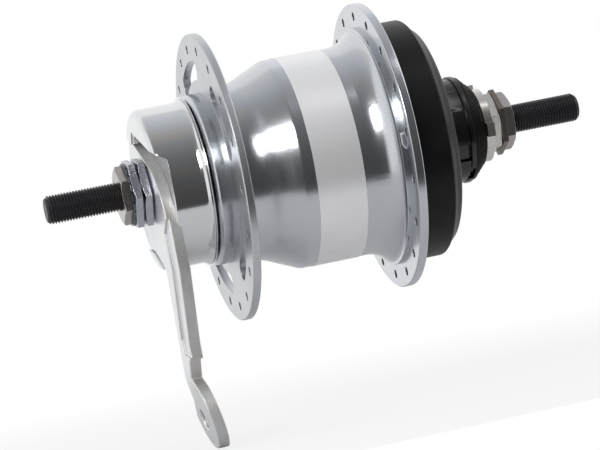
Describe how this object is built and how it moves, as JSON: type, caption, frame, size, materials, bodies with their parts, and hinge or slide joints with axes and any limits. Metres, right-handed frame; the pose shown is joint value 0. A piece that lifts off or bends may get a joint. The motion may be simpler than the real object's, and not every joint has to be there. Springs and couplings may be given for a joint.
{
  "type": "internal gear hub",
  "caption": "Rear bicycle hub with planetary gears inside, a coaster brake with its reaction arm, two spoke flanges and a threaded axle.",
  "frame": {"origin": "on the axle, midway between the outer faces of the two locknuts", "axes": "+Y along the axle to the drive side, +Z away from the brake arm's tab, +X to the arm's near edge"},
  "size_m": [0.096, 0.184, 0.1351],
  "materials": {
    "black_steel": "black oxide",
    "dark_steel": "darkened",
    "plated_steel": "zinc plated, satin",
    "brown_steel": "brown passivated",
    "bright_steel": "bright nickel",
    "arm_steel": "zinc plated, blued",
    "chrome": "polished",
    "polished_alloy": "polished",
    "satin_alloy": "satin",
    "label": "satin film",
    "gear_steel": "machined",
    "bearing_steel": "ground",
    "brass": "machined",
    "black_plastic": "satin black"
  },
  "bodies": {
    "axle_side": {"axle": "black_steel", "left_locknut": "dark_steel", "left_lock_washer": "dark_steel", "arm_stop_nut": "plated_steel", "arm_spacer_washer": "dark_steel", "arm_clamp_nut": "plated_steel", "arm_seat_collar": "dark_steel", "brake_arm": "arm_steel", "brake_cover": "chrome", "left_cone": "bearing_steel", "brake_cam": "gear_steel", "sun_gear_three": "gear_steel", "sun_gear_a": "gear_steel", "right_cone": "bearing_steel", "right_stop_nut": "bright_steel", "right_non_turn_washer": "brown_steel", "right_locknut": "brown_steel"},
    "shell": {"hub_shell": "polished_alloy", "left_flange": "satin_alloy", "label_band": "label", "left_ball_race": "bearing_steel", "ring_gear_b": "gear_steel", "right_ball_cup": "bearing_steel", "right_dust_cap": "black_plastic"},
    "driver": {"driver": "dark_steel", "ring_gear_a": "gear_steel", "driver_cap": "black_plastic", "driver_dust_ring": "black_plastic", "sprocket_snap_ring": "bright_steel"},
    "carrier": {"planet_carrier": "gear_steel", "planet_pins": "bearing_steel"},
    "cluster_1": {"planet_cluster_1": "gear_steel"},
    "cluster_2": {"planet_cluster_2": "gear_steel"},
    "cluster_3": {"planet_cluster_3": "gear_steel"},
    "input_planet_1": {"planet_gear_a_1": "gear_steel"},
    "input_planet_2": {"planet_gear_a_2": "gear_steel"},
    "input_planet_3": {"planet_gear_a_3": "gear_steel"},
    "sun_one": {"sun_gear_one": "gear_steel"},
    "sun_two": {"sun_gear_two": "gear_steel"},
    "left_bearing": {"left_ball_cage": "brass", "left_balls": "bearing_steel"},
    "right_bearing": {"right_ball_cage": "brass", "right_balls": "bearing_steel"},
    "shoe_1": {"brake_shoe_1": "brass"},
    "shoe_2": {"brake_shoe_2": "brass"},
    "shoe_3": {"brake_shoe_3": "brass"},
    "sleeve": {"shift_sleeve": "bright_steel"}
  },
  "joints": [
    {"name": "shell_spin", "type": "hinge", "parent": "axle_side", "child": "shell", "pos_m": [0, 0, 0], "axis": [0, 1, 0], "continuous": true},
    {"name": "driver_spin", "type": "hinge", "parent": "axle_side", "child": "driver", "pos_m": [0, 0, 0], "axis": [0, 1, 0], "continuous": true},
    {"name": "carrier_spin", "type": "hinge", "parent": "axle_side", "child": "carrier", "pos_m": [0, 0, 0], "axis": [0, 1, 0], "continuous": true},
    {"name": "cluster_1_spin", "type": "hinge", "parent": "carrier", "child": "cluster_1", "pos_m": [0, -0.0113, 0.0189], "axis": [0, 1, 0], "continuous": true},
    {"name": "cluster_2_spin", "type": "hinge", "parent": "carrier", "child": "cluster_2", "pos_m": [0.01637, -0.0113, -0.00945], "axis": [0, 1, 0], "continuous": true},
    {"name": "cluster_3_spin", "type": "hinge", "parent": "carrier", "child": "cluster_3", "pos_m": [-0.01637, -0.0113, -0.00945], "axis": [0, 1, 0], "continuous": true},
    {"name": "input_planet_1_spin", "type": "hinge", "parent": "carrier", "child": "input_planet_1", "pos_m": [0.01819, 0.0022, 0.0105], "axis": [0, 1, 0], "continuous": true},
    {"name": "input_planet_2_spin", "type": "hinge", "parent": "carrier", "child": "input_planet_2", "pos_m": [0, 0.0022, -0.021], "axis": [0, 1, 0], "continuous": true},
    {"name": "input_planet_3_spin", "type": "hinge", "parent": "carrier", "child": "input_planet_3", "pos_m": [-0.01819, 0.0022, 0.0105], "axis": [0, 1, 0], "continuous": true},
    {"name": "sun_one_spin", "type": "hinge", "parent": "axle_side", "child": "sun_one", "pos_m": [0, 0, 0], "axis": [0, 1, 0], "continuous": true},
    {"name": "sun_two_spin", "type": "hinge", "parent": "axle_side", "child": "sun_two", "pos_m": [0, 0, 0], "axis": [0, 1, 0], "continuous": true},
    {"name": "left_bearing_spin", "type": "hinge", "parent": "axle_side", "child": "left_bearing", "pos_m": [0, 0, 0], "axis": [0, 1, 0], "continuous": true},
    {"name": "right_bearing_spin", "type": "hinge", "parent": "axle_side", "child": "right_bearing", "pos_m": [0, 0, 0], "axis": [0, 1, 0], "continuous": true},
    {"name": "shoe_1_slide", "type": "slide", "parent": "axle_side", "child": "shoe_1", "axis": [0, 0, 1], "range_m": [0, 0.00035], "stiffness_N_per_m": 400},
    {"name": "shoe_2_slide", "type": "slide", "parent": "axle_side", "child": "shoe_2", "axis": [0.866, 0, -0.5], "range_m": [0, 0.00035], "stiffness_N_per_m": 400},
    {"name": "shoe_3_slide", "type": "slide", "parent": "axle_side", "child": "shoe_3", "axis": [-0.866, 0, -0.5], "range_m": [0, 0.00035], "stiffness_N_per_m": 400},
    {"name": "sleeve_turn", "type": "hinge", "parent": "axle_side", "child": "sleeve", "pos_m": [0, 0.0527, 0], "axis": [0, 1, 0], "range_deg": [0, 157.5], "stiffness_Nm_per_rad": 0.06}
  ],
  "couplings": [
    {"joint": "driver_spin", "follows": "shell_spin", "ratio": 0.95238},
    {"joint": "carrier_spin", "follows": "shell_spin", "ratio": 0.61905},
    {"joint": "cluster_1_spin", "follows": "shell_spin", "ratio": 1.2381},
    {"joint": "cluster_2_spin", "follows": "shell_spin", "ratio": 1.2381},
    {"joint": "cluster_3_spin", "follows": "shell_spin", "ratio": 1.2381},
    {"joint": "input_planet_1_spin", "follows": "shell_spin", "ratio": 1.4444},
    {"joint": "input_planet_2_spin", "follows": "shell_spin", "ratio": 1.4444},
    {"joint": "input_planet_3_spin", "follows": "shell_spin", "ratio": 1.4444},
    {"joint": "sun_one_spin", "follows": "shell_spin", "ratio": -0.92857},
    {"joint": "sun_two_spin", "follows": "shell_spin", "ratio": -0.37143},
    {"joint": "left_bearing_spin", "follows": "shell_spin", "ratio": 0.55774},
    {"joint": "right_bearing_spin", "follows": "shell_spin", "ratio": 0.97888},
    {"joint": "shoe_2_slide", "follows": "shoe_1_slide", "ratio": 1},
    {"joint": "shoe_3_slide", "follows": "shoe_1_slide", "ratio": 1}
  ]
}
